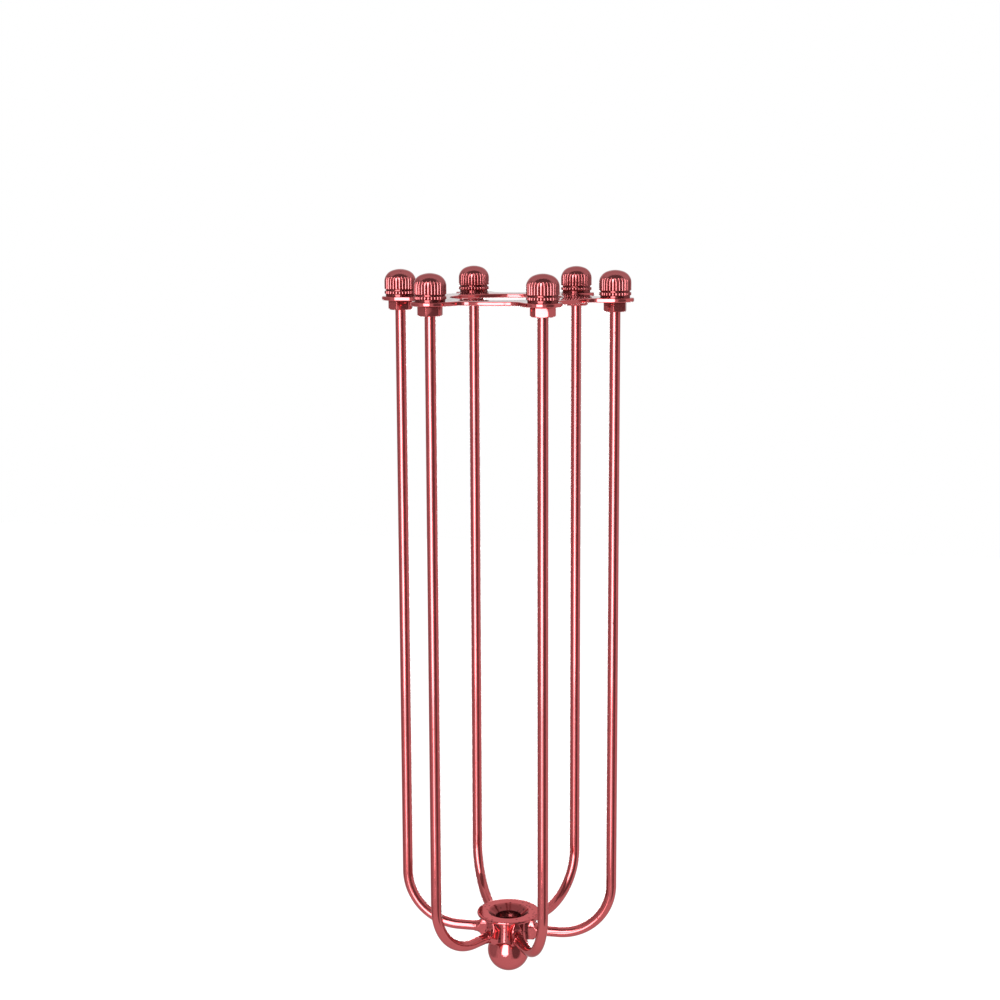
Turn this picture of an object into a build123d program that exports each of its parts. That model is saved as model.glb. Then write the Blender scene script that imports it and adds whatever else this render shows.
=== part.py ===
from build123d import *
import math
import os

# Cage lampshade. A lobed ring plate hangs on a lampholder, six bent rods hang from its lobes between
# knurled cap nuts and hexagon nuts, and a cast hub with a ball finial gathers the rods at the bottom.
# Millimetres, +Z up. The origin is the centre of the lampholder hole, on the plate's top face.

# Cage
rod_count = 6
rod_circle_radius = 41.0
rod_diameter = 4.0
rod_axis_drop = 249.5        # from the plate's top face to the axis of the rods' level run
rod_bend_radius = 21.0       # on the rod's axis
rod_end_chamfer = 0.4

# Ring plate
holder_hole_diameter = 42.0
plate_ring_width = 12.0      # from the lampholder hole to the edge between two lobes
plate_thickness = 1.5
lobe_radius = 7.0
lobe_root_radius = 5.0
plate_hole_clearance = 0.15  # on the radius, round a rod

# Knurled cap nut
cap_diameter = 11.9
cap_height = 10.2
cap_shoulder_radius = 3.5
cap_crown = 0.3              # how far the dome rises over a plain quarter round
cap_brim_height = 0.15       # plain edge between the dome and the ribs
cap_base_height = 0.8
lower_rib_height = 1.3
cap_groove_height = 0.5
rib_count = 28
rib_depth = 0.45
rib_inset = 0.05             # of the ribs' crests under the dome's edge
rod_depth_in_cap = 6.0
cap_bore_spare = 0.6         # room above the rod's end
thread_clearance = 0.05      # on the radius, between a thread and its nut

# Hexagon nut
hex_across_flats = 8.0
hex_height = 3.6
hex_chamfer_height = 0.5
hex_chamfer_bite = 0.1       # of the chamfer into the flats
hex_turns = (32, 15, 40, 25, 25, 6)  # degrees, where each nut comes tight on its thread

# Hub
hub_body_radius = 10.4       # to the ends of the arms under the lip
hub_lip_radius = 12.4
hub_lip_thickness = 1.2
hub_lip_round = 0.5
hub_above_axis = 7.3         # the hub's top over the rods' axis
hub_below_axis = 3.2         # the hub's bottom under the rods' axis
hub_scallop_depth = 2.8      # from the arms' ends to the floor of a scallop
arm_crest_width = 1.6        # of an arm under the lip, where it is slimmest
arm_wall = 0.3               # beside a rod, on the arm that holds it
arm_tip_wall = 0.2
arm_tip_length = 0.4
arm_flare_radius = 3.2       # where an arm runs out on its rod
socket_depth = 3.6           # from the arm's end
socket_clearance = 0.05      # on the radius and at the rod's end
well_diameter = 10.0
countersink_width = 3.1
countersink_depth = 2.0
well_floor_thickness = 2.7

# Ball finial and its screw
ball_radius = 8.3
ball_seat_radius = 6.1       # the flat that meets the hub
screw_diameter = 4.0
screw_hole_clearance = 0.2   # on the radius, through the hub's floor
screw_head_diameter = 7.6
screw_head_height = 2.6
screw_head_round = 0.6
screw_slot_width = 1.0
screw_slot_depth = 1.2
screw_depth_in_ball = 6.0
ball_bore_spare = 0.8        # room under the screw's end

rod_radius = rod_diameter / 2
screw_radius = screw_diameter / 2
half_arm = rod_radius + arm_wall
rod_axis_z = -rod_axis_drop
hub_top_z = rod_axis_z + hub_above_axis
hub_bottom_z = rod_axis_z - hub_below_axis
lip_bottom_z = hub_top_z - hub_lip_thickness
shoulder_z = rod_axis_z + half_arm
well_floor_z = hub_bottom_z + well_floor_thickness
socket_floor = hub_body_radius - socket_depth
sector = 360 / rod_count
on_base = (Align.CENTER, Align.CENTER, Align.MIN)
under_top = (Align.CENTER, Align.CENTER, Align.MAX)


def around(shape, index):
    """The shape turned to a rod's place in the cage."""
    return Rot(0, 0, index * sector) * shape


def arc_point(centre, radius, degrees):
    """A point of an arc drawn in the upright plane through +X."""
    turn = math.radians(degrees)
    return (centre[0] + radius * math.cos(turn), 0, centre[1] + radius * math.sin(turn))


def arc(centre, radius, start, end):
    """An arc in the upright plane through +X, between two angles in degrees."""
    return Edge.make_three_point_arc(
        arc_point(centre, radius, start),
        arc_point(centre, radius, (start + end) / 2),
        arc_point(centre, radius, end),
    )


def ring_plate():
    """The punched sheet ring: an annulus with a round lobe out to each rod."""
    web_radius = holder_hole_diameter / 2 + plate_ring_width
    lobe = Pos(rod_circle_radius / 2, 0) * Rectangle(rod_circle_radius, 2 * lobe_radius)
    lobe += Pos(rod_circle_radius, 0) * Circle(lobe_radius)
    outline = Circle(web_radius)
    for index in range(rod_count):
        outline += around(lobe, index)
    roots = outline.vertices().filter_by(lambda corner: math.isclose(Vector(corner).length, web_radius))
    outline = fillet(roots, lobe_root_radius)
    outline -= Circle(holder_hole_diameter / 2)
    rod_hole = Pos(rod_circle_radius, 0) * Circle(rod_radius + plate_hole_clearance)
    for index in range(rod_count):
        outline -= around(rod_hole, index)
    return extrude(outline, -plate_thickness)


def rod():
    """The wire at the +X place: its threaded end in the cap nut, its foot in the hub."""
    bend_x = rod_circle_radius - rod_bend_radius
    bend_z = rod_axis_z + rod_bend_radius
    top = (rod_circle_radius, 0, rod_depth_in_cap)
    foot = (socket_floor + socket_clearance, 0, rod_axis_z)
    path = Wire([
        Edge.make_line(top, (rod_circle_radius, 0, bend_z)),
        arc((bend_x, bend_z), rod_bend_radius, 0, -90),
        Edge.make_line((bend_x, 0, rod_axis_z), foot),
    ])
    wire = sweep(Plane(origin=top, z_dir=(0, 0, -1)) * Circle(rod_radius), path=path)
    return chamfer(wire.edges().sort_by(Axis.Z)[-1], rod_end_chamfer)


def rib_band(height):
    """A ring of upright ribs on the cap nut, as one star-shaped prism."""
    crest = cap_diameter / 2 - rib_inset
    root = cap_diameter / 2 - rib_depth
    corners = []
    for index in range(2 * rib_count):
        radius = crest if index % 2 == 0 else root
        turn = math.pi * index / rib_count
        corners.append((radius * math.cos(turn), radius * math.sin(turn)))
    return extrude(make_face(Polyline(corners, close=True)), height)


def cap_nut():
    """The turned nut over a rod's end: a ribbed barrel with a groove, under a smooth dome."""
    cap_radius = cap_diameter / 2
    core_radius = cap_radius - rib_depth
    groove_top = cap_base_height + lower_rib_height + cap_groove_height
    dome_height = cap_shoulder_radius + cap_crown
    shoulder = (cap_radius - cap_shoulder_radius, cap_height - dome_height)
    brim_z = shoulder[1] - cap_brim_height
    crown_radius = (shoulder[0] ** 2 + dome_height**2 - cap_shoulder_radius**2) / (2 * cap_crown)
    crown = (0, cap_height - crown_radius)
    crown_start = math.degrees(math.atan2(shoulder[1] - crown[1], shoulder[0]))
    outline = Wire([
        Edge.make_line((0, 0, 0), (core_radius, 0, 0)),
        Edge.make_line((core_radius, 0, 0), (core_radius, 0, brim_z)),
        Edge.make_line((core_radius, 0, brim_z), (cap_radius, 0, brim_z)),
        Edge.make_line((cap_radius, 0, brim_z), (cap_radius, 0, shoulder[1])),
        arc(shoulder, cap_shoulder_radius, 0, crown_start),
        arc(crown, crown_radius, crown_start, 90),
        Edge.make_line((0, 0, cap_height), (0, 0, 0)),
    ])
    nut = revolve(Face(outline), Axis.Z)
    nut += Pos(0, 0, cap_base_height) * rib_band(lower_rib_height)
    nut += Pos(0, 0, groove_top) * rib_band(brim_z - groove_top)
    nut -= Cylinder(rod_radius + thread_clearance, rod_depth_in_cap + cap_bore_spare, align=on_base)
    return Pos(rod_circle_radius, 0, 0) * nut


def hex_nut(turn):
    """The nut under the plate, with its lower corners chamfered, turned as it came tight."""
    corner_radius = hex_across_flats / math.sqrt(3)
    chamfer_width = corner_radius - hex_across_flats / 2 + hex_chamfer_bite
    blank = Cylinder(corner_radius, hex_height, align=under_top)
    lower_rim = blank.edges().filter_by(GeomType.CIRCLE).sort_by(Axis.Z)[0]
    nut = extrude(RegularPolygon(corner_radius, 6), -hex_height)
    nut &= chamfer(lower_rim, hex_chamfer_height, chamfer_width)
    nut -= Cylinder(rod_radius + thread_clearance, hex_height, align=under_top)
    return Pos(rod_circle_radius, 0, -plate_thickness) * Rot(0, 0, turn) * nut


def scallop_round(half_width, height):
    """The round of a scallop at a height in the hub, through the corners of arms of this half width."""
    half_sector = math.radians(sector / 2)
    valley = hub_body_radius - hub_scallop_depth
    mouth = hub_body_radius * math.cos(half_sector) + half_width * math.sin(half_sector)
    centre = (hub_body_radius**2 + half_width**2 - valley**2) / (2 * (mouth - valley))
    return Pos(centre, 0, height) * Circle(centre - valley)


def scallop():
    """The hollow between two arms: straight beside the rods, and wider up to the lip as the arms get slim."""
    hollow = extrude(scallop_round(half_arm, hub_bottom_z), shoulder_z - hub_bottom_z)
    hollow += loft([scallop_round(half_arm, shoulder_z), scallop_round(arm_crest_width / 2, lip_bottom_z)])
    return Rot(0, 0, sector / 2) * hollow


def hub_arm():
    """The flared end of the arm at +X: slim under the lip, wider than its rod below, round at the tip."""
    tip_radius = rod_radius + arm_tip_wall
    root_radius = tip_radius + arm_flare_radius
    flare_start = hub_body_radius - arm_wall
    flare_end = flare_start + arm_flare_radius
    tip_end = flare_end + arm_tip_length
    profile = Wire([
        Edge.make_line((socket_floor, 0, 0), (socket_floor, 0, root_radius)),
        Edge.make_line((socket_floor, 0, root_radius), (flare_start, 0, root_radius)),
        arc((flare_end, root_radius), arm_flare_radius, 180, 270),
        Edge.make_line((flare_end, 0, tip_radius), (tip_end, 0, tip_radius)),
        Edge.make_line((tip_end, 0, tip_radius), (tip_end, 0, 0)),
        Edge.make_line((tip_end, 0, 0), (socket_floor, 0, 0)),
    ])
    flare = Pos(0, 0, rod_axis_z) * revolve(Face(profile), Axis.X)
    half_crest = arm_crest_width / 2
    arm_face = Polyline(
        (half_arm, hub_bottom_z),
        (half_arm, shoulder_z),
        (half_crest, lip_bottom_z),
        (-half_crest, lip_bottom_z),
        (-half_arm, shoulder_z),
        (-half_arm, hub_bottom_z),
        close=True,
    )
    return flare & extrude(Plane.YZ * make_face(arm_face), tip_end)


def hub():
    """The casting that gathers the rods: scalloped body, lip, flared arms, rod sockets and screw well."""
    casting = Pos(0, 0, hub_bottom_z) * Cylinder(hub_body_radius, lip_bottom_z - hub_bottom_z, align=on_base)
    hollow = scallop()
    arm = hub_arm()
    for index in range(rod_count):
        casting -= around(hollow, index)
    for index in range(rod_count):
        casting += around(arm, index)
    lip = Pos(0, 0, lip_bottom_z) * Cylinder(hub_lip_radius, hub_lip_thickness, align=on_base)
    casting += fillet(lip.edges().filter_by(GeomType.CIRCLE), hub_lip_round)
    socket = Cylinder(rod_radius + socket_clearance, rod_circle_radius, rotation=(0, 90, 0), align=on_base)
    socket = Pos(socket_floor, 0, rod_axis_z) * socket
    for index in range(rod_count):
        casting -= around(socket, index)
    well_radius = well_diameter / 2
    well = Pos(0, 0, well_floor_z) * Cylinder(well_radius, hub_top_z - well_floor_z, align=on_base)
    countersink = Cone(well_radius, well_radius + countersink_width, countersink_depth, align=on_base)
    casting -= well + Pos(0, 0, hub_top_z - countersink_depth) * countersink
    screw_hole = Cylinder(screw_radius + screw_hole_clearance, well_floor_thickness, align=on_base)
    return casting - Pos(0, 0, hub_bottom_z) * screw_hole


def ball_finial():
    """The turned ball, flat where it seats under the hub, with a blind threaded hole."""
    seat_height = math.sqrt(ball_radius**2 - ball_seat_radius**2)
    below_seat = Box(2 * ball_radius, 2 * ball_radius, 2 * ball_radius, align=under_top)
    ball = Pos(0, 0, -seat_height) * Sphere(ball_radius) & below_seat
    ball -= Cylinder(screw_radius + thread_clearance, screw_depth_in_ball + ball_bore_spare, align=under_top)
    return Pos(0, 0, hub_bottom_z) * ball


def finial_screw():
    """The slotted screw in the hub's well that draws the ball up to the hub."""
    head = Cylinder(screw_head_diameter / 2, screw_head_height, align=on_base)
    head = fillet(head.edges().filter_by(GeomType.CIRCLE).sort_by(Axis.Z)[-1], screw_head_round)
    slot = Box(screw_head_diameter, screw_slot_width, screw_slot_depth, align=under_top)
    head -= Pos(0, 0, screw_head_height) * slot
    shank = Cylinder(screw_radius, well_floor_thickness + screw_depth_in_ball, align=under_top)
    return Pos(0, 0, well_floor_z) * (head + shank)


os.makedirs("parts", exist_ok=True)
export_step(ring_plate(), "parts/ring_plate.step")
bent_rod = rod()
ribbed_cap = cap_nut()
for index in range(rod_count):
    place = index + 1
    tight_nut = hex_nut(hex_turns[index % len(hex_turns)])
    export_step(around(bent_rod, index), f"parts/rod_{place}.step")
    export_step(around(ribbed_cap, index), f"parts/cap_nut_{place}.step")
    export_step(around(tight_nut, index), f"parts/hex_nut_{place}.step")
export_step(hub(), "parts/hub.step")
export_step(ball_finial(), "parts/ball_finial.step")
export_step(finial_screw(), "parts/finial_screw.step")
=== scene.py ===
import bpy
import math
from mathutils import Matrix, Vector


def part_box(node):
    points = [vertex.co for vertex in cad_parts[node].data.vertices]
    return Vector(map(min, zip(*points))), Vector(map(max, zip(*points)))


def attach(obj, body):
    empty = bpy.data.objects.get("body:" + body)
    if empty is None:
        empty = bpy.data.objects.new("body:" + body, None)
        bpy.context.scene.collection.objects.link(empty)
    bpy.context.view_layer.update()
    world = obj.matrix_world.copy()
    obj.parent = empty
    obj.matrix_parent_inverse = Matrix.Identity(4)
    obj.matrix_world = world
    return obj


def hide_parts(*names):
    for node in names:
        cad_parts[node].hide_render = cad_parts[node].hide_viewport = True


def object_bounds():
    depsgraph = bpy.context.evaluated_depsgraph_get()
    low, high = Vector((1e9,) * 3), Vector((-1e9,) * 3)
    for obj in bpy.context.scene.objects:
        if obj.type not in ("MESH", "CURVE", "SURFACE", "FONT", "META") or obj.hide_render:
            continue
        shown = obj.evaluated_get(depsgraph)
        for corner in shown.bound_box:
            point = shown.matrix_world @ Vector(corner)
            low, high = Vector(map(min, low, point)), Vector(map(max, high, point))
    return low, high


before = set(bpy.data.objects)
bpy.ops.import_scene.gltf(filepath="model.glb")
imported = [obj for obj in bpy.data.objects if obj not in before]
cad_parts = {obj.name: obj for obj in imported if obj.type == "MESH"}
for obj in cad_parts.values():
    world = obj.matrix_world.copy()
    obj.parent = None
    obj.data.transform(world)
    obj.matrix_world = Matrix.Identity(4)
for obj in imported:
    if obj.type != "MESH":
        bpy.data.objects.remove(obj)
cad_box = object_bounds()

# Ring plate
# A ring punched from sheet steel, with a round lobe out to each rod, deburred and plated red.
# It hangs on the lampholder's rim, and its lobes are clamped between the cap nuts and the hexagon nuts.
mm = 0.001
rod_count = 6
rod_low, rod_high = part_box("rod_1")
rod_radius = (rod_high.y - rod_low.y) / 2
rod_circle = rod_high.x - rod_radius
plate_low, plate_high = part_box("ring_plate")
plate_thickness = plate_high.z - plate_low.z
plate_hole_radius = 21.0 * mm
plate_web_radius = 33.0 * mm
lobe_allowance = 0.01 * mm
lobe_radius = plate_high.x - rod_circle - lobe_allowance
lobe_root_radius = 5.0 * mm
plate_edge_round = 0.42 * mm
plate_edge_steps = 5
plate_hole_clearance = 0.15 * mm
rod_hole_radius = rod_radius + plate_hole_clearance
rod_hole_steps = 48
lobe_steps = 40
root_steps = 12
web_steps = 20


def around(index):
    """The turn that takes the +X place to a rod's place in the cage."""
    return Matrix.Rotation(math.tau * index / rod_count, 4, "Z")


def arc_points(centre, radius, start, end, steps):
    """Points of an arc between two angles in degrees, both ends included."""
    points = []
    for step in range(steps + 1):
        turn = math.radians(start + (end - start) * step / steps)
        points.append((centre[0] + radius * math.cos(turn), centre[1] + radius * math.sin(turn)))
    return points


def apply_modifiers(piece):
    """Every modifier of the piece, made part of its mesh."""
    bpy.context.view_layer.objects.active = piece
    for modifier in list(piece.modifiers):
        bpy.ops.object.modifier_apply(modifier=modifier.name)


def cut_away(piece, cutter, operation="DIFFERENCE"):
    """The piece less the cutter, or with INTERSECT only what lies inside it. The cutter is used up."""
    cut = piece.modifiers.new("cut", "BOOLEAN")
    cut.object = cutter
    cut.operation = operation
    cut.solver = "EXACT"
    apply_modifiers(piece)
    bpy.data.objects.remove(cutter)


def smooth_faces(piece, widest_angle):
    """Smooth shading, except over edges sharper than this angle in degrees."""
    bpy.ops.object.select_all(action="DESELECT")
    piece.select_set(True)
    bpy.context.view_layer.objects.active = piece
    bpy.ops.object.shade_smooth_by_angle(angle=math.radians(widest_angle))


def red_finish(name, line_sizes, line_depth, pit_spacing, pit_radius, place_name="", red_strength=1.0):
    """Red plating over worked metal: its tint drifts, its gloss is uneven, it has small dark pits, and
    lines of the work show through. Their sizes are along the axes of the object or the named attribute.
    A strength under 1 makes the plating browner."""
    deep_red = (0.38 * red_strength, 0.072, 0.076, 1.0)
    bright_red = (0.49 * red_strength, 0.108, 0.112, 1.0)
    pit_red = (0.05, 0.008, 0.009, 1.0)
    rim_tint = (0.45, 0.40, 0.40, 1.0)
    tint_patch = 14.0 * mm
    gloss_patch = 2.5 * mm
    glossiest = 0.06
    dullest = 0.12
    pit_cover = 0.9
    finish = bpy.data.materials.new(name)
    finish.use_nodes = True
    nodes = finish.node_tree.nodes
    links = finish.node_tree.links
    shader = nodes["Principled BSDF"]
    shader.inputs["Metallic"].default_value = 0.82
    shader.inputs["Specular Tint"].default_value = rim_tint
    if place_name:
        source = nodes.new("ShaderNodeAttribute")
        source.attribute_name = place_name
        place = source.outputs["Vector"]
    else:
        source = nodes.new("ShaderNodeTexCoord")
        place = source.outputs["Object"]
    tint_noise = nodes.new("ShaderNodeTexNoise")
    tint_noise.inputs["Scale"].default_value = 1 / tint_patch
    tint_noise.inputs["Detail"].default_value = 4.0
    links.new(place, tint_noise.inputs["Vector"])
    tint = nodes.new("ShaderNodeMix")
    tint.data_type = "RGBA"
    tint.inputs["A"].default_value = deep_red
    tint.inputs["B"].default_value = bright_red
    links.new(tint_noise.outputs["Fac"], tint.inputs["Factor"])
    pit_spread = nodes.new("ShaderNodeTexVoronoi")
    pit_spread.inputs["Scale"].default_value = 1 / pit_spacing
    links.new(place, pit_spread.inputs["Vector"])
    pits = nodes.new("ShaderNodeMapRange")
    pits.inputs["From Min"].default_value = 0.5 * pit_radius / pit_spacing
    pits.inputs["From Max"].default_value = pit_radius / pit_spacing
    pits.inputs["To Min"].default_value = pit_cover
    pits.inputs["To Max"].default_value = 0.0
    links.new(pit_spread.outputs["Distance"], pits.inputs["Value"])
    pitted = nodes.new("ShaderNodeMix")
    pitted.name = "pitted"
    pitted.data_type = "RGBA"
    pitted.inputs["B"].default_value = pit_red
    links.new(pits.outputs["Result"], pitted.inputs["Factor"])
    links.new(tint.outputs["Result"], pitted.inputs["A"])
    links.new(pitted.outputs["Result"], shader.inputs["Base Color"])
    gloss_noise = nodes.new("ShaderNodeTexNoise")
    gloss_noise.inputs["Scale"].default_value = 1 / gloss_patch
    gloss_noise.inputs["Detail"].default_value = 3.0
    links.new(place, gloss_noise.inputs["Vector"])
    gloss = nodes.new("ShaderNodeMapRange")
    gloss.inputs["From Min"].default_value = 0.3
    gloss.inputs["From Max"].default_value = 0.7
    gloss.inputs["To Min"].default_value = glossiest
    gloss.inputs["To Max"].default_value = dullest
    links.new(gloss_noise.outputs["Fac"], gloss.inputs["Value"])
    links.new(gloss.outputs["Result"], shader.inputs["Roughness"])
    stretch = nodes.new("ShaderNodeMapping")
    stretch.inputs["Scale"].default_value = [1 / size for size in line_sizes]
    links.new(place, stretch.inputs["Vector"])
    lines = nodes.new("ShaderNodeTexNoise")
    lines.inputs["Scale"].default_value = 1.0
    lines.inputs["Detail"].default_value = 2.0
    links.new(stretch.outputs["Vector"], lines.inputs["Vector"])
    skin = nodes.new("ShaderNodeBump")
    skin.inputs["Strength"].default_value = 0.6
    skin.inputs["Distance"].default_value = line_depth
    links.new(lines.outputs["Fac"], skin.inputs["Height"])
    links.new(skin.outputs["Normal"], shader.inputs["Normal"])
    return finish


def plate_outline():
    """The outline of one lobe and one web edge, from the lobe's right flank to the next lobe's."""
    root_reach = plate_web_radius + lobe_root_radius
    root_side = lobe_radius + lobe_root_radius
    root_along = math.sqrt(root_reach**2 - root_side**2)
    root_angle = math.degrees(math.atan2(root_side, root_along))
    sector = 360 / rod_count
    points = arc_points((rod_circle, 0), lobe_radius, -90, 90, lobe_steps)
    points += arc_points((root_along, root_side), lobe_root_radius, 270, 180 + root_angle, root_steps)
    points += arc_points((0, 0), plate_web_radius, root_angle, sector - root_angle, web_steps)[1:-1]
    next_root = Vector((root_along, -root_side)).to_3d()
    next_root.rotate(Matrix.Rotation(math.radians(sector), 3, "Z"))
    points += arc_points(next_root, lobe_root_radius, 180 + sector - root_angle, 90 + sector, root_steps)
    return points


sector_points = plate_outline()
outline = []
for index in range(rod_count):
    for point in sector_points:
        outline.append(around(index) @ Vector((point[0], point[1], plate_high.z)))
bpy.ops.object.select_all(action="DESELECT")
bpy.ops.mesh.primitive_circle_add(vertices=len(outline), radius=plate_hole_radius)
plate = bpy.context.object
plate.name = "plate"
for vertex, point in zip(plate.data.vertices, outline):
    vertex.co = point
bpy.ops.object.mode_set(mode="EDIT")
bpy.ops.mesh.select_all(action="SELECT")
bpy.ops.mesh.extrude_edges_move()
bpy.ops.object.mode_set(mode="OBJECT")
for vertex in plate.data.vertices:
    if vertex.select:
        inward = plate_hole_radius / vertex.co.xy.length
        vertex.co.x *= inward
        vertex.co.y *= inward
bpy.ops.object.mode_set(mode="EDIT")
bpy.ops.mesh.select_all(action="SELECT")
bpy.ops.mesh.normals_make_consistent(inside=False)
bpy.ops.object.mode_set(mode="OBJECT")
if plate.data.polygons[0].normal.z < 0:
    plate.data.flip_normals()
sheet = plate.modifiers.new("sheet", "SOLIDIFY")
sheet.thickness = plate_thickness
sheet.offset = -1
edge = plate.modifiers.new("edge", "BEVEL")
edge.width = plate_edge_round
edge.segments = plate_edge_steps
edge.angle_limit = math.radians(40)
apply_modifiers(plate)
for index in range(rod_count):
    bpy.ops.object.select_all(action="DESELECT")
    bpy.ops.mesh.primitive_cylinder_add(
        vertices=rod_hole_steps,
        radius=rod_hole_radius,
        depth=4 * plate_thickness,
        location=around(index) @ Vector((rod_circle, 0, (plate_low.z + plate_high.z) / 2)),
    )
    cut_away(plate, bpy.context.object)
smooth_faces(plate, 35)
sheet_finish = red_finish(
    "red_plated_sheet",
    line_sizes=(30 * mm, 0.5 * mm, 30 * mm),
    line_depth=0.002 * mm,
    pit_spacing=3.5 * mm,
    pit_radius=0.3 * mm,
)
plate.data.materials.append(sheet_finish)
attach(plate, "root")
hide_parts("ring_plate")

# Rods
# Round steel wire, threaded at the top for its nuts, bent once by hand-set dies and plated red.
# The foot is pushed into its socket in the hub.
rod_top = rod_high.z
rod_axis_z = rod_low.z + rod_radius
rod_foot = rod_low.x
rod_bend_radius = 21.0 * mm
rod_end_chamfer = 0.4 * mm
rod_sides = 64
rod_bend_steps = 48
weld_distance = 0.001 * mm


def place_copies(model, piece_name, node_name, turns=(0,)):
    """One copy of the model at each rod's place, each with its own mesh and its own turn in degrees about
    the rod's upright axis. The model is used up."""
    to_axis = Matrix.Translation((rod_circle, 0, 0))
    for index in range(rod_count):
        own_turn = Matrix.Rotation(math.radians(turns[index % len(turns)]), 4, "Z")
        copy = model.copy()
        copy.data = model.data.copy()
        copy.name = f"{piece_name}_{index + 1}"
        copy.data.transform(around(index) @ to_axis @ own_turn @ to_axis.inverted())
        bpy.context.scene.collection.objects.link(copy)
        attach(copy, "root")
        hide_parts(f"{node_name}_{index + 1}")
    bpy.data.objects.remove(model)


def close_ends(piece):
    """Faces over the open ends, with every face of the piece turned outwards."""
    bpy.ops.object.mode_set(mode="EDIT")
    bpy.ops.mesh.select_all(action="DESELECT")
    bpy.ops.mesh.select_non_manifold()
    bpy.ops.mesh.fill_holes(sides=0)
    bpy.ops.mesh.select_all(action="SELECT")
    bpy.ops.mesh.normals_make_consistent(inside=False)
    bpy.ops.object.mode_set(mode="OBJECT")


def place_on_straight_wire(point):
    """Where a point of the bent wire was before the bend: two measures across the wire, and one along it."""
    out = point.x - bend_centre[0]
    up = point.z - bend_centre[2]
    if up > 0:
        return (point.x - rod_circle, point.y, up)
    if out < 0:
        return (rod_axis_z - point.z, point.y, out - rod_bend_radius * math.pi / 2)
    return (math.hypot(out, up) - rod_bend_radius, point.y, rod_bend_radius * math.atan2(up, out))


bend_centre = (rod_circle - rod_bend_radius, 0, rod_axis_z + rod_bend_radius)
chamfer_z = rod_top - rod_end_chamfer
bpy.ops.object.select_all(action="DESELECT")
bpy.ops.mesh.primitive_circle_add(
    vertices=rod_sides,
    radius=rod_radius - rod_end_chamfer,
    location=(rod_circle, 0, rod_top),
)
wire = bpy.context.object
bpy.ops.object.transform_apply(location=True, rotation=True, scale=True)
bpy.ops.object.mode_set(mode="EDIT")
bpy.ops.mesh.select_all(action="SELECT")
bpy.ops.mesh.extrude_edges_move(TRANSFORM_OT_translate={"value": (0, 0, -rod_end_chamfer)})
swell = rod_radius / (rod_radius - rod_end_chamfer)
bpy.ops.transform.resize(value=(swell, swell, 1), center_override=(rod_circle, 0, chamfer_z))
bpy.ops.mesh.extrude_edges_move(TRANSFORM_OT_translate={"value": (0, 0, bend_centre[2] - chamfer_z)})
bpy.ops.mesh.spin(steps=rod_bend_steps, angle=math.pi / 2, center=bend_centre, axis=(0, -1, 0))
bpy.ops.mesh.extrude_edges_move(TRANSFORM_OT_translate={"value": (rod_foot - bend_centre[0], 0, 0)})
bpy.ops.mesh.select_all(action="SELECT")
bpy.ops.mesh.remove_doubles(threshold=weld_distance)
bpy.ops.object.mode_set(mode="OBJECT")
close_ends(wire)
smooth_faces(wire, 35)
straight = wire.data.attributes.new("straight_wire", "FLOAT_VECTOR", "POINT")
for vertex in wire.data.vertices:
    straight.data[vertex.index].vector = place_on_straight_wire(vertex.co)
wire_finish = red_finish(
    "red_plated_wire",
    line_sizes=(0.4 * mm, 0.4 * mm, 40 * mm),
    line_depth=0.002 * mm,
    pit_spacing=5 * mm,
    pit_radius=0.35 * mm,
    place_name="straight_wire",
)
wire.data.materials.append(wire_finish)
place_copies(wire, "wire", "rod")

# Hexagon nuts
# Plain steel nuts, with the corners of the lower face turned off, plated red.
# Each is run up its rod's thread to the underside of the plate.
hex_low, hex_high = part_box("hex_nut_1")
hex_height = hex_high.z - hex_low.z
hex_flat_radius = 4.0 * mm
hex_corner_radius = hex_flat_radius / math.cos(math.pi / 6)
hex_turns = (32, 15, 40, 25, 25, 6)
hex_chamfer_height = 0.5 * mm
hex_chamfer_bite = 0.1 * mm
hex_edge_round = 0.16 * mm
hex_edge_steps = 3
hex_blank_steps = 144
thread_steps = 64
thread_clearance = 0.05 * mm
thread_radius = rod_radius + thread_clearance


def spun(profile, steps):
    """A turned piece: its profile of radius and height is drawn from point to point and spun about Z."""
    bpy.ops.object.select_all(action="DESELECT")
    bpy.ops.mesh.primitive_plane_add(size=mm)
    piece = bpy.context.object
    bpy.ops.object.mode_set(mode="EDIT")
    bpy.ops.mesh.merge(type="CENTER")
    bpy.ops.transform.translate(value=(profile[0][0], 0, profile[0][1]))
    for start, end in zip(profile, profile[1:]):
        step = (end[0] - start[0], 0, end[1] - start[1])
        bpy.ops.mesh.extrude_vertices_move(TRANSFORM_OT_translate={"value": step})
    bpy.ops.mesh.select_all(action="SELECT")
    bpy.ops.mesh.spin(steps=steps, angle=math.tau, center=(0, 0, 0), axis=(0, 0, 1))
    bpy.ops.mesh.select_all(action="SELECT")
    bpy.ops.mesh.remove_doubles(threshold=weld_distance)
    bpy.ops.mesh.normals_make_consistent(inside=False)
    bpy.ops.object.mode_set(mode="OBJECT")
    return piece


bpy.ops.object.select_all(action="DESELECT")
bpy.ops.mesh.primitive_cylinder_add(vertices=6, radius=hex_corner_radius, depth=hex_height)
nut = bpy.context.object
bpy.ops.transform.rotate(value=math.pi / 6, orient_axis="Z", center_override=(0, 0, 0))
bpy.ops.object.transform_apply(location=True, rotation=True, scale=True)
chamfer_foot = hex_flat_radius - hex_chamfer_bite
blank = spun(
    [
        (0, hex_height),
        (2 * hex_corner_radius, hex_height),
        (2 * hex_corner_radius, -hex_height / 2 + hex_chamfer_height),
        (hex_corner_radius, -hex_height / 2 + hex_chamfer_height),
        (chamfer_foot, -hex_height / 2),
        (0, -hex_height / 2),
    ],
    hex_blank_steps,
)
cut_away(nut, blank, "INTERSECT")
edge = nut.modifiers.new("edge", "BEVEL")
edge.width = hex_edge_round
edge.segments = hex_edge_steps
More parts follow.
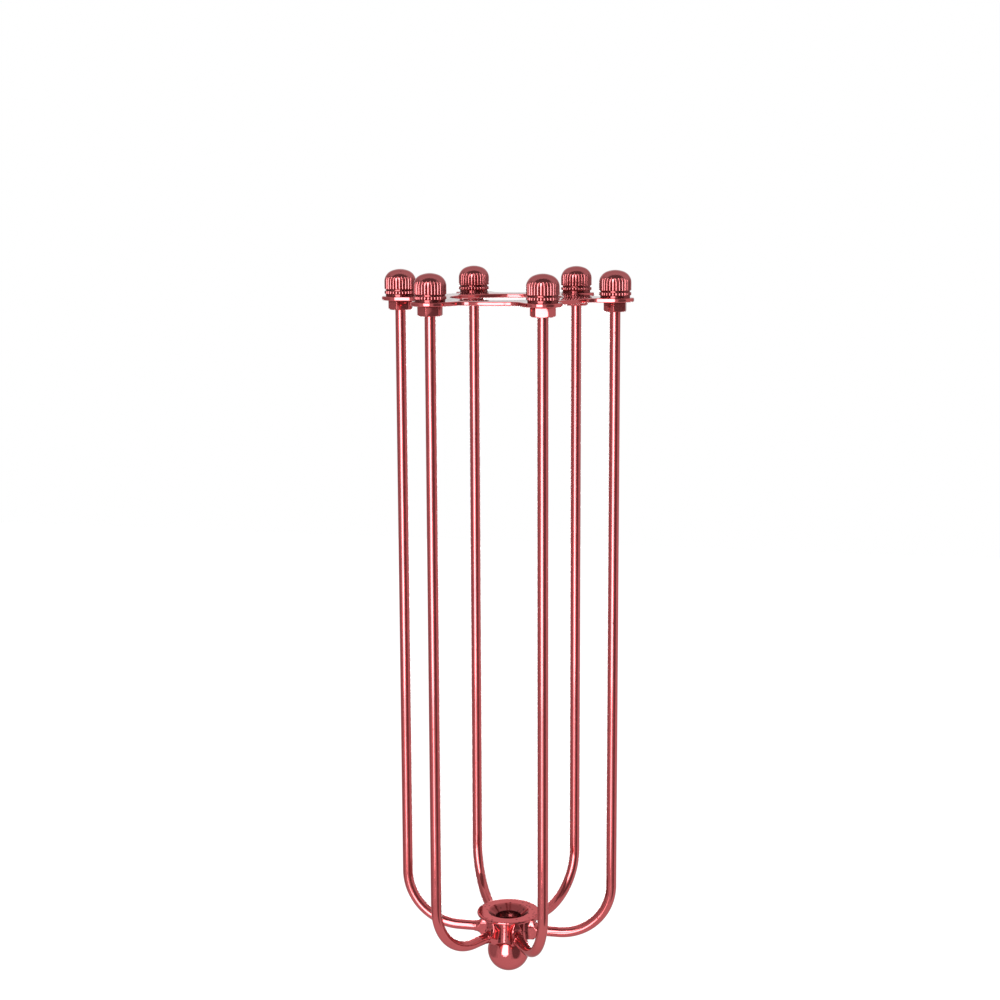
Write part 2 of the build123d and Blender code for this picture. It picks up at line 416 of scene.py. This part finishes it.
edge.angle_limit = math.radians(25)
apply_modifiers(nut)
bpy.ops.object.select_all(action="DESELECT")
bpy.ops.mesh.primitive_cylinder_add(vertices=thread_steps, radius=thread_radius, depth=2 * hex_height)
cut_away(nut, bpy.context.object)
nut.data.transform(Matrix.Translation((rod_circle, 0, (hex_low.z + hex_high.z) / 2)))
smooth_faces(nut, 25)
nut_finish = red_finish(
    "red_plated_nut",
    line_sizes=(0.4 * mm, 0.4 * mm, 12 * mm),
    line_depth=0.002 * mm,
    pit_spacing=3 * mm,
    pit_radius=0.3 * mm,
)
nut.data.materials.append(nut_finish)
place_copies(nut, "nut", "hex_nut", hex_turns)

# Knurled cap nuts
# Turned dome nuts with a straight knurl and a groove round the barrel, polished on the dome, plated red.
# Each closes the threaded end of a rod and pulls it up against the top of the plate.
cap_low, cap_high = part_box("cap_nut_1")
cap_radius = (cap_high.y - cap_low.y) / 2
cap_height = cap_high.z - cap_low.z
cap_shoulder_radius = 4.4 * mm
cap_crown = 0.3 * mm
cap_base_height = 0.8 * mm
lower_rib_height = 1.3 * mm
cap_groove_height = 0.5 * mm
cap_bore_spare = 0.6 * mm
cap_bore_depth = rod_top + cap_bore_spare
rib_count = 28
rib_depth = 0.45 * mm
rib_end_round = 0.35 * mm
rib_flatness = 1.5
rib_steps = 12
band_steps = 9
shoulder_steps = 26
crown_steps = 6

groove_low = cap_base_height + lower_rib_height
groove_high = groove_low + cap_groove_height
shoulder = (cap_radius - cap_shoulder_radius, cap_height - cap_shoulder_radius - cap_crown)
dome_height = cap_shoulder_radius + cap_crown
crown_radius = (shoulder[0] ** 2 + dome_height**2 - cap_shoulder_radius**2) / (2 * cap_crown)
crown_centre = (0, cap_height - crown_radius)
crown_start = math.degrees(math.atan2(shoulder[1] - crown_centre[1], shoulder[0]))
barrel_heights = [0, 0.5 * cap_base_height]
for step in range(band_steps + 1):
    barrel_heights.append(cap_base_height + lower_rib_height * step / band_steps)
barrel_heights.append(groove_low + 0.5 * cap_groove_height)
for step in range(band_steps):
    barrel_heights.append(groove_high + rib_end_round * step / (band_steps - 1))
cap_profile = [(0, cap_bore_depth), (thread_radius, cap_bore_depth), (thread_radius, 0)]
cap_profile += [(cap_radius, height) for height in barrel_heights]
cap_profile += arc_points(shoulder, cap_shoulder_radius, 0, crown_start, shoulder_steps)
cap_profile += arc_points(crown_centre, crown_radius, crown_start, 90, crown_steps)[1:]
cap = spun(cap_profile, rib_count * rib_steps)


def rib_crest(height):
    """How much of the ribs' depth stands at this height: they end in rounds at the base and the groove."""
    inside = height - groove_high
    if height < groove_low + 0.5 * cap_groove_height:
        inside = min(height - cap_base_height, groove_low - height)
    share = max(0.0, min(1.0, inside / rib_end_round))
    return math.sqrt(share * (2 - share))


def paint_shade_where(finish, share, shade_red):
    """The finish goes over to this darker red by the share that a node's output gives: painted shade."""
    nodes = finish.node_tree.nodes
    links = finish.node_tree.links
    shaded = nodes.new("ShaderNodeMix")
    shaded.data_type = "RGBA"
    shaded.inputs["B"].default_value = shade_red
    links.new(share, shaded.inputs["Factor"])
    links.new(nodes["pitted"].outputs["Result"], shaded.inputs["A"])
    links.new(shaded.outputs["Result"], nodes["Principled BSDF"].inputs["Base Color"])


rib_hollow = cap.data.attributes.new("rib_hollow", "FLOAT", "POINT")
for vertex in cap.data.vertices:
    reach = vertex.co.xy.length
    if reach < cap_radius - rib_depth:
        continue
    bearing = math.atan2(vertex.co.y, vertex.co.x)
    wave = abs(math.cos(rib_count * bearing / 2))
    ridge = 1 - (1 - wave) ** rib_flatness
    ribbed = cap_radius - rib_depth * (1 - rib_crest(vertex.co.z) * ridge)
    inward = min(reach, ribbed) / reach
    rib_hollow.data[vertex.index].value = max(0.0, reach - ribbed) / rib_depth
    vertex.co.x *= inward
    vertex.co.y *= inward
cap.data.transform(Matrix.Translation((rod_circle, 0, cap_low.z)))
smooth_faces(cap, 50)
turned_lines = (30 * mm, 30 * mm, 0.3 * mm)
cap_finish = red_finish(
    "red_plated_cap",
    line_sizes=turned_lines,
    line_depth=0.001 * mm,
    pit_spacing=4 * mm,
    pit_radius=0.3 * mm,
    red_strength=0.8,
)
nodes = cap_finish.node_tree.nodes
links = cap_finish.node_tree.links
# The rib valleys are painted darker red, deepest where the ribs are deepest: painted shade in the creases.
valley = nodes.new("ShaderNodeAttribute")
valley.attribute_name = "rib_hollow"
valley_shade = nodes.new("ShaderNodeMapRange")
valley_shade.inputs["From Min"].default_value = 0.25
valley_shade.inputs["From Max"].default_value = 0.8
valley_shade.inputs["To Max"].default_value = 0.85
links.new(valley.outputs["Fac"], valley_shade.inputs["Value"])
valley_shade_red = (0.13, 0.025, 0.026, 1.0)
paint_shade_where(cap_finish, valley_shade.outputs["Result"], valley_shade_red)
cap.data.materials.append(cap_finish)
place_copies(cap, "cap", "cap_nut")

# Hub
# A small casting: a scalloped body under a round lip, with slim ridges that sweep out to arms on the rods.
# The well and the rods' sockets are machined, the rest keeps the soft edges of its mould, all plated red.
hub_low, hub_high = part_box("hub")
hub_body_radius = 10.4 * mm
valley_high_radius = 7.3 * mm
valley_low_radius = 8.05 * mm
hub_lip_radius = 12.4 * mm
hub_lip_thickness = 1.2 * mm
hub_lip_round = 0.5 * mm
hub_lip_overlap = 0.2 * mm
half_crest = 0.8 * mm
arm_wall = 0.3 * mm
half_arm = rod_radius + arm_wall
arm_tip_wall = 0.2 * mm
arm_tip_radius = rod_radius + arm_tip_wall
arm_tip_length = 0.4 * mm
arm_flare_radius = 3.2 * mm
socket_clearance = 0.05 * mm
well_radius = 5.0 * mm
well_floor_thickness = 2.7 * mm
well_floor_z = hub_low.z + well_floor_thickness
countersink_width = 3.1 * mm
countersink_depth = 2.0 * mm
screw_hole_radius = 2.2 * mm
cast_cell = 0.17 * mm
cast_softening = 7
scallop_steps = 160
hub_steps = 240
arm_steps = 96
flare_steps = 24
lip_round_steps = 6
well_steps = 128
socket_steps = 64
spare = 1.0 * mm
lip_bottom_z = hub_high.z - hub_lip_thickness
shoulder_z = rod_axis_z + half_arm


def scallop_round(half_width, height):
    """Centre and radius of the round from arm to arm, for arms of this half width. It leans in upwards."""
    half_sector = math.pi / rod_count
    mouth = hub_body_radius * math.cos(half_sector) + half_width * math.sin(half_sector)
    rise = (height - hub_low.z) / (lip_bottom_z - hub_low.z)
    valley = valley_low_radius + (valley_high_radius - valley_low_radius) * rise
    centre = (hub_body_radius**2 + half_width**2 - valley**2) / (2 * (mouth - valley))
    return centre, centre - valley


def join_pieces(pieces):
    """The pieces as one object, which is the first of them."""
    bpy.ops.object.select_all(action="DESELECT")
    for piece in pieces:
        piece.select_set(True)
    bpy.context.view_layer.objects.active = pieces[0]
    bpy.ops.object.join()
    return pieces[0]


def ring_copies(model, turn):
    """Copies of the model round the cage, first turned on by this angle. The model is used up."""
    copies = []
    for index in range(rod_count):
        copy = model.copy()
        copy.data = model.data.copy()
        copy.data.transform(around(index) @ Matrix.Rotation(turn, 4, "Z"))
        bpy.context.scene.collection.objects.link(copy)
        copies.append(copy)
    bpy.data.objects.remove(model)
    return copies


bpy.ops.object.select_all(action="DESELECT")
low_centre, low_round = scallop_round(half_arm, hub_low.z)
bpy.ops.mesh.primitive_circle_add(
    vertices=scallop_steps,
    radius=low_round,
    location=(low_centre, 0, hub_low.z - spare),
)
scallop = bpy.context.object
bpy.ops.object.transform_apply(location=True, rotation=True, scale=True)
bpy.ops.object.mode_set(mode="EDIT")
bpy.ops.mesh.select_all(action="SELECT")
bpy.ops.mesh.extrude_edges_move(TRANSFORM_OT_translate={"value": (0, 0, spare)})
scallop_levels = ((half_arm, hub_low.z), (half_arm, shoulder_z), (half_crest, lip_bottom_z))
for lower, upper in zip(scallop_levels, scallop_levels[1:]):
    low_centre, low_round = scallop_round(*lower)
    high_centre, high_round = scallop_round(*upper)
    rise = (high_centre - low_centre, 0, upper[1] - lower[1])
    bpy.ops.mesh.extrude_edges_move(TRANSFORM_OT_translate={"value": rise})
    swell = high_round / low_round
    bpy.ops.transform.resize(value=(swell, swell, 1), center_override=(high_centre, 0, upper[1]))
bpy.ops.object.mode_set(mode="OBJECT")
close_ends(scallop)
bpy.ops.object.select_all(action="DESELECT")
bpy.ops.mesh.primitive_cylinder_add(
    vertices=hub_steps,
    radius=hub_body_radius,
    depth=lip_bottom_z - hub_low.z,
    location=(0, 0, (lip_bottom_z + hub_low.z) / 2),
)
hub = bpy.context.object
hub.name = "casting"
bpy.ops.object.transform_apply(location=True, rotation=True, scale=True)
for scallop_copy in ring_copies(scallop, math.pi / rod_count):
    cut_away(hub, scallop_copy)
flare_end = hub_high.x - arm_tip_length
flare_root = arm_tip_radius + arm_flare_radius
flare = arc_points((flare_end, flare_root), arm_flare_radius, 180, 270, flare_steps)
arm_profile = [(0, rod_foot), (flare_root, rod_foot)]
arm_profile += [(out, along) for along, out in flare]
arm_profile += [(arm_tip_radius, hub_high.x), (0, hub_high.x)]
arm = spun(arm_profile, arm_steps)
arm.data.transform(Matrix.Translation((0, 0, rod_axis_z)) @ Matrix.Rotation(math.pi / 2, 4, "Y"))
bpy.ops.object.select_all(action="DESELECT")
arm_corners = (
    (half_arm, hub_low.z),
    (half_arm, shoulder_z),
    (half_crest, lip_bottom_z),
    (-half_crest, lip_bottom_z),
    (-half_arm, shoulder_z),
    (-half_arm, hub_low.z),
)
bpy.ops.mesh.primitive_circle_add(vertices=len(arm_corners))
arm_sides = bpy.context.object
for vertex, corner in zip(arm_sides.data.vertices, arm_corners):
    vertex.co = (0, corner[0], corner[1])
bpy.ops.object.mode_set(mode="EDIT")
bpy.ops.mesh.select_all(action="SELECT")
bpy.ops.mesh.extrude_edges_move(TRANSFORM_OT_translate={"value": (2 * hub_high.x, 0, 0)})
bpy.ops.object.mode_set(mode="OBJECT")
close_ends(arm_sides)
cut_away(arm, arm_sides, "INTERSECT")
lip_round_reach = hub_lip_radius - hub_lip_round
lip_low_round = (lip_round_reach, lip_bottom_z + hub_lip_round)
lip_high_round = (lip_round_reach, hub_high.z - hub_lip_round)
lip_foot_z = lip_bottom_z - hub_lip_overlap
lip_profile = [(0, lip_foot_z), (valley_high_radius, lip_foot_z)]
lip_profile += arc_points(lip_low_round, hub_lip_round, -90, 0, lip_round_steps)
lip_profile += arc_points(lip_high_round, hub_lip_round, 0, 90, lip_round_steps)
lip_profile += [(0, hub_high.z)]
lip = spun(lip_profile, hub_steps)
join_pieces([hub, lip] + ring_copies(arm, 0))
cells = hub.modifiers.new("cells", "REMESH")
cells.mode = "VOXEL"
cells.voxel_size = cast_cell
soft = hub.modifiers.new("soft", "SMOOTH")
soft.factor = 0.5
soft.iterations = cast_softening
apply_modifiers(hub)
well = spun(
    [
        (0, hub_low.z - spare),
        (screw_hole_radius, hub_low.z - spare),
        (screw_hole_radius, well_floor_z),
        (well_radius, well_floor_z),
        (well_radius, hub_high.z - countersink_depth),
        (well_radius + countersink_width, hub_high.z),
        (well_radius + countersink_width, hub_high.z + spare),
        (0, hub_high.z + spare),
    ],
    well_steps,
)
bpy.ops.object.select_all(action="DESELECT")
bpy.ops.mesh.primitive_cylinder_add(
    vertices=socket_steps,
    radius=rod_radius + socket_clearance,
    depth=rod_circle,
    location=(rod_foot - socket_clearance + rod_circle / 2, 0, rod_axis_z),
    rotation=(0, math.pi / 2, 0),
)
socket = bpy.context.object
bpy.ops.object.transform_apply(location=True, rotation=True, scale=True)
cut_away(hub, join_pieces([well] + ring_copies(socket, 0)))
smooth_faces(hub, 35)
casting_finish = red_finish(
    "red_plated_casting",
    line_sizes=(1.5 * mm, 1.5 * mm, 1.5 * mm),
    line_depth=0.006 * mm,
    pit_spacing=1.8 * mm,
    pit_radius=0.45 * mm,
)
nodes = casting_finish.node_tree.nodes
links = casting_finish.node_tree.links
place = nodes.new("ShaderNodeTexCoord")
axes = nodes.new("ShaderNodeSeparateXYZ")
links.new(place.outputs["Object"], axes.inputs["Vector"])
flat = nodes.new("ShaderNodeCombineXYZ")
links.new(axes.outputs["X"], flat.inputs["X"])
links.new(axes.outputs["Y"], flat.inputs["Y"])
axis_distance = nodes.new("ShaderNodeVectorMath")
axis_distance.operation = "LENGTH"
links.new(flat.outputs["Vector"], axis_distance.inputs[0])
# The well and the inner part of its countersink are painted darker red: painted shade in the recess.
well_shade = nodes.new("ShaderNodeMapRange")
well_shade.inputs["From Min"].default_value = well_radius + 0.7 * countersink_width
well_shade.inputs["From Max"].default_value = well_radius + countersink_width
well_shade.inputs["To Min"].default_value = 0.6
well_shade.inputs["To Max"].default_value = 0.0
links.new(axis_distance.outputs["Value"], well_shade.inputs["Value"])
well_shade_red = (0.09, 0.015, 0.016, 1.0)
paint_shade_where(casting_finish, well_shade.outputs["Result"], well_shade_red)
hub.data.materials.append(casting_finish)
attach(hub, "root")
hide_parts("hub")

# Ball finial
# A turned ball, flat where it seats against the hub, bored and tapped for its screw, plated red.
# The screw in the hub's well draws it up tight.
ball_low, ball_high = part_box("ball_finial")
ball_radius = (ball_high.y - ball_low.y) / 2
ball_centre_z = ball_low.z + ball_radius
seat_z = ball_high.z
ball_bore_radius = 2.05 * mm
ball_bore_depth = 6.8 * mm
ball_steps = 64
seat_angle = math.degrees(math.asin((seat_z - ball_centre_z) / ball_radius))
ball_profile = arc_points((0, ball_centre_z), ball_radius, -90, seat_angle, ball_steps)
ball_profile += [
    (ball_bore_radius, seat_z),
    (ball_bore_radius, seat_z - ball_bore_depth),
    (0, seat_z - ball_bore_depth),
]
ball = spun(ball_profile, 2 * ball_steps)
ball.name = "ball"
smooth_faces(ball, 30)
ball_finish = red_finish(
    "red_plated_ball",
    line_sizes=turned_lines,
    line_depth=0.001 * mm,
    pit_spacing=4 * mm,
    pit_radius=0.3 * mm,
)
ball.data.materials.append(ball_finish)
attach(ball, "root")
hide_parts("ball_finial")

# Finial screw
# A slotted steel screw with a rounded head, turned and left bright.
# It goes down the hub's well, through its floor and into the ball.
screw_low, screw_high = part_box("finial_screw")
screw_head_radius = (screw_high.y - screw_low.y) / 2
screw_radius = 2.0 * mm
screw_end_chamfer = 0.4 * mm
screw_head_round = 0.6 * mm
slot_width = 1.0 * mm
slot_depth = 1.2 * mm
slot_length = 4 * screw_head_radius
screw_steps = 96
head_round_steps = 8
head_edge = (screw_head_radius - screw_head_round, screw_high.z - screw_head_round)
screw_profile = [
    (0, screw_low.z),
    (screw_radius - screw_end_chamfer, screw_low.z),
    (screw_radius, screw_low.z + screw_end_chamfer),
    (screw_radius, well_floor_z),
    (screw_head_radius, well_floor_z),
]
screw_profile += arc_points(head_edge, screw_head_round, 0, 90, head_round_steps)
screw_profile += [(0, screw_high.z)]
screw = spun(screw_profile, screw_steps)
screw.name = "screw"
bpy.ops.object.select_all(action="DESELECT")
bpy.ops.mesh.primitive_cube_add(
    size=1,
    location=(0, 0, screw_high.z),
    scale=(slot_length, slot_width, 2 * slot_depth),
)
cut_away(screw, bpy.context.object)
smooth_faces(screw, 30)
steel = bpy.data.materials.new("bright_steel")
steel.use_nodes = True
nodes = steel.node_tree.nodes
links = steel.node_tree.links
shader = nodes["Principled BSDF"]
shader.inputs["Metallic"].default_value = 1.0
shader.inputs["Base Color"].default_value = (0.5, 0.49, 0.48, 1.0)
place = nodes.new("ShaderNodeTexCoord")
turning = nodes.new("ShaderNodeTexWave")
turning.wave_type = "RINGS"
turning.rings_direction = "Z"
turning.inputs["Scale"].default_value = 1 / (2.0 * mm)
turning.inputs["Distortion"].default_value = 1.5
links.new(place.outputs["Object"], turning.inputs["Vector"])
wear = nodes.new("ShaderNodeMapRange")
wear.inputs["To Min"].default_value = 0.18
wear.inputs["To Max"].default_value = 0.34
links.new(turning.outputs["Fac"], wear.inputs["Value"])
links.new(wear.outputs["Result"], shader.inputs["Roughness"])
screw.data.materials.append(steel)
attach(screw, "root")
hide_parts("finial_screw")

# Floor
# Plain pale paper, well below the hanging cage. It is lifted to white for the camera and in reflections,
# and keeps its shadow.
floor_drop = 0.62
floor_size = 8.0
floor_lift = 0.2
bpy.ops.object.select_all(action="DESELECT")
bpy.ops.mesh.primitive_plane_add(size=floor_size, location=(0, 0, cad_box[0].z - floor_drop))
floor = bpy.context.object
floor.name = "floor"
paper = bpy.data.materials.new("pale_paper")
paper.use_nodes = True
nodes = paper.node_tree.nodes
links = paper.node_tree.links
shader = nodes["Principled BSDF"]
shader.inputs["Base Color"].default_value = (0.9, 0.9, 0.9, 1)
shader.inputs["Roughness"].default_value = 0.9
shader.inputs["Emission Color"].default_value = (1, 1, 1, 1)
ray = nodes.new("ShaderNodeLightPath")
seen_in_metal = nodes.new("ShaderNodeMath")
seen_in_metal.operation = "ADD"
links.new(ray.outputs["Is Camera Ray"], seen_in_metal.inputs[0])
links.new(ray.outputs["Is Glossy Ray"], seen_in_metal.inputs[1])
seen_in_glass = nodes.new("ShaderNodeMath")
seen_in_glass.operation = "ADD"
links.new(seen_in_metal.outputs["Value"], seen_in_glass.inputs[0])
links.new(ray.outputs["Is Transmission Ray"], seen_in_glass.inputs[1])
lift = nodes.new("ShaderNodeMath")
lift.operation = "MULTIPLY"
lift.inputs[1].default_value = floor_lift
links.new(seen_in_glass.outputs["Value"], lift.inputs[0])
links.new(lift.outputs["Value"], shader.inputs["Emission Strength"])
floor.data.materials.append(paper)

# Studio
# White surroundings, with a tall soft box at the front and a small dim one under it, and a box and a wide
# glow behind. Felt flags stand to the left and the right and hang overhead, for dark lines in the metal.
camera_turn = math.radians(12)
box_distance = 1.2
flag_distance = 0.9
flag_height = -0.1
world = bpy.data.worlds.new("studio")
bpy.context.scene.world = world
world.use_nodes = True
world.node_tree.nodes["Background"].inputs["Color"].default_value = (1, 1, 1, 1)
world.node_tree.nodes["Background"].inputs["Strength"].default_value = 1.0


def stand_round(azimuth, distance, height):
    """A place round the cage that faces its axis."""
    turn = Matrix.Rotation(math.radians(azimuth), 4, "Z")
    return turn @ Matrix.Translation((0, -distance, height)) @ Matrix.Rotation(math.pi / 2, 4, "X")


def soft_box(name, azimuth, height, width, tall, energy):
    """A soft box, seen in the metal and not by the camera."""
    bpy.ops.object.light_add(type="AREA")
    lamp = bpy.context.object
    lamp.name = name
    lamp.data.shape = "RECTANGLE"
    lamp.data.size = width
    lamp.data.size_y = tall
    lamp.data.energy = energy
    lamp.matrix_world = stand_round(azimuth, box_distance, height)
    lamp.visible_camera = False
    lamp.visible_diffuse = False


def felt(shade):
    """Felt for a card, this dark in the middle and pale at the edges."""
    dark_reach = 0.35
    card_edge = 0.5
    edge_shade = 0.9
    cloth = bpy.data.materials.new("felt")
    cloth.use_nodes = True
    nodes = cloth.node_tree.nodes
    links = cloth.node_tree.links
    nodes["Principled BSDF"].inputs["Roughness"].default_value = 1.0
    place = nodes.new("ShaderNodeTexCoord")
    middle = nodes.new("ShaderNodeVectorMath")
    middle.operation = "LENGTH"
    links.new(place.outputs["Object"], middle.inputs[0])
    fade = nodes.new("ShaderNodeMapRange")
    fade.interpolation_type = "SMOOTHSTEP"
    fade.inputs["From Min"].default_value = dark_reach
    fade.inputs["From Max"].default_value = card_edge
    fade.inputs["To Min"].default_value = shade
    fade.inputs["To Max"].default_value = edge_shade
    links.new(middle.outputs["Value"], fade.inputs["Value"])
    links.new(fade.outputs["Result"], nodes["Principled BSDF"].inputs["Base Color"])
    return cloth


def flag(name, place, width, tall, cloth):
    """A felt card, seen in the metal and not by the camera."""
    bpy.ops.object.select_all(action="DESELECT")
    bpy.ops.mesh.primitive_plane_add(size=1)
    card = bpy.context.object
    card.name = name
    card.matrix_world = place @ Matrix.Diagonal((width, tall, 1, 1))
    card.visible_camera = False
    card.visible_diffuse = False
    card.visible_shadow = False
    card.data.materials.append(cloth)


soft_box("front_box", -8, 0.3, 0.74, 1.6, 42)
soft_box("low_box", -8, -0.59, 0.4, 0.18, 1.8)
soft_box("back_box", 192, -0.4, 0.3, 0.7, 8.5)
soft_box("back_glow", 192, 0.5, 1.6, 0.8, 2.2)
flag("right_flag", stand_round(54, flag_distance, flag_height), 0.95, 1.8, felt(0.12))
flag("left_flag", stand_round(-86, flag_distance, flag_height), 1.3, 1.8, felt(0.55))
top_place = Matrix.Rotation(camera_turn, 4, "Z") @ Matrix.Translation((0, -0.52, 0.8))
flag("top_flag", top_place, 2.6, 1.0, felt(0.12))

# Camera
# The photograph's view: a little above the plate, to the right of the cage's front, and tipped down.
# Its place, turn and lens were fitted to the rods, the nuts and the hub.
camera_place = (-0.0027, -0.6673, 0.0363)
camera_dip = math.radians(9.64)
camera_roll = math.radians(-0.23)
bpy.ops.object.camera_add()
camera = bpy.context.object
turn = Matrix.Rotation(camera_turn, 4, "Z")
tilt = Matrix.Rotation(math.pi / 2 - camera_dip, 4, "X")
roll = Matrix.Rotation(camera_roll, 4, "Z")
camera.matrix_world = turn @ Matrix.Translation(camera_place) @ tilt @ roll
camera.data.sensor_width = 36
camera.data.lens = 63.94
bpy.context.scene.camera = camera
bpy.context.scene.view_settings.view_transform = "Standard"
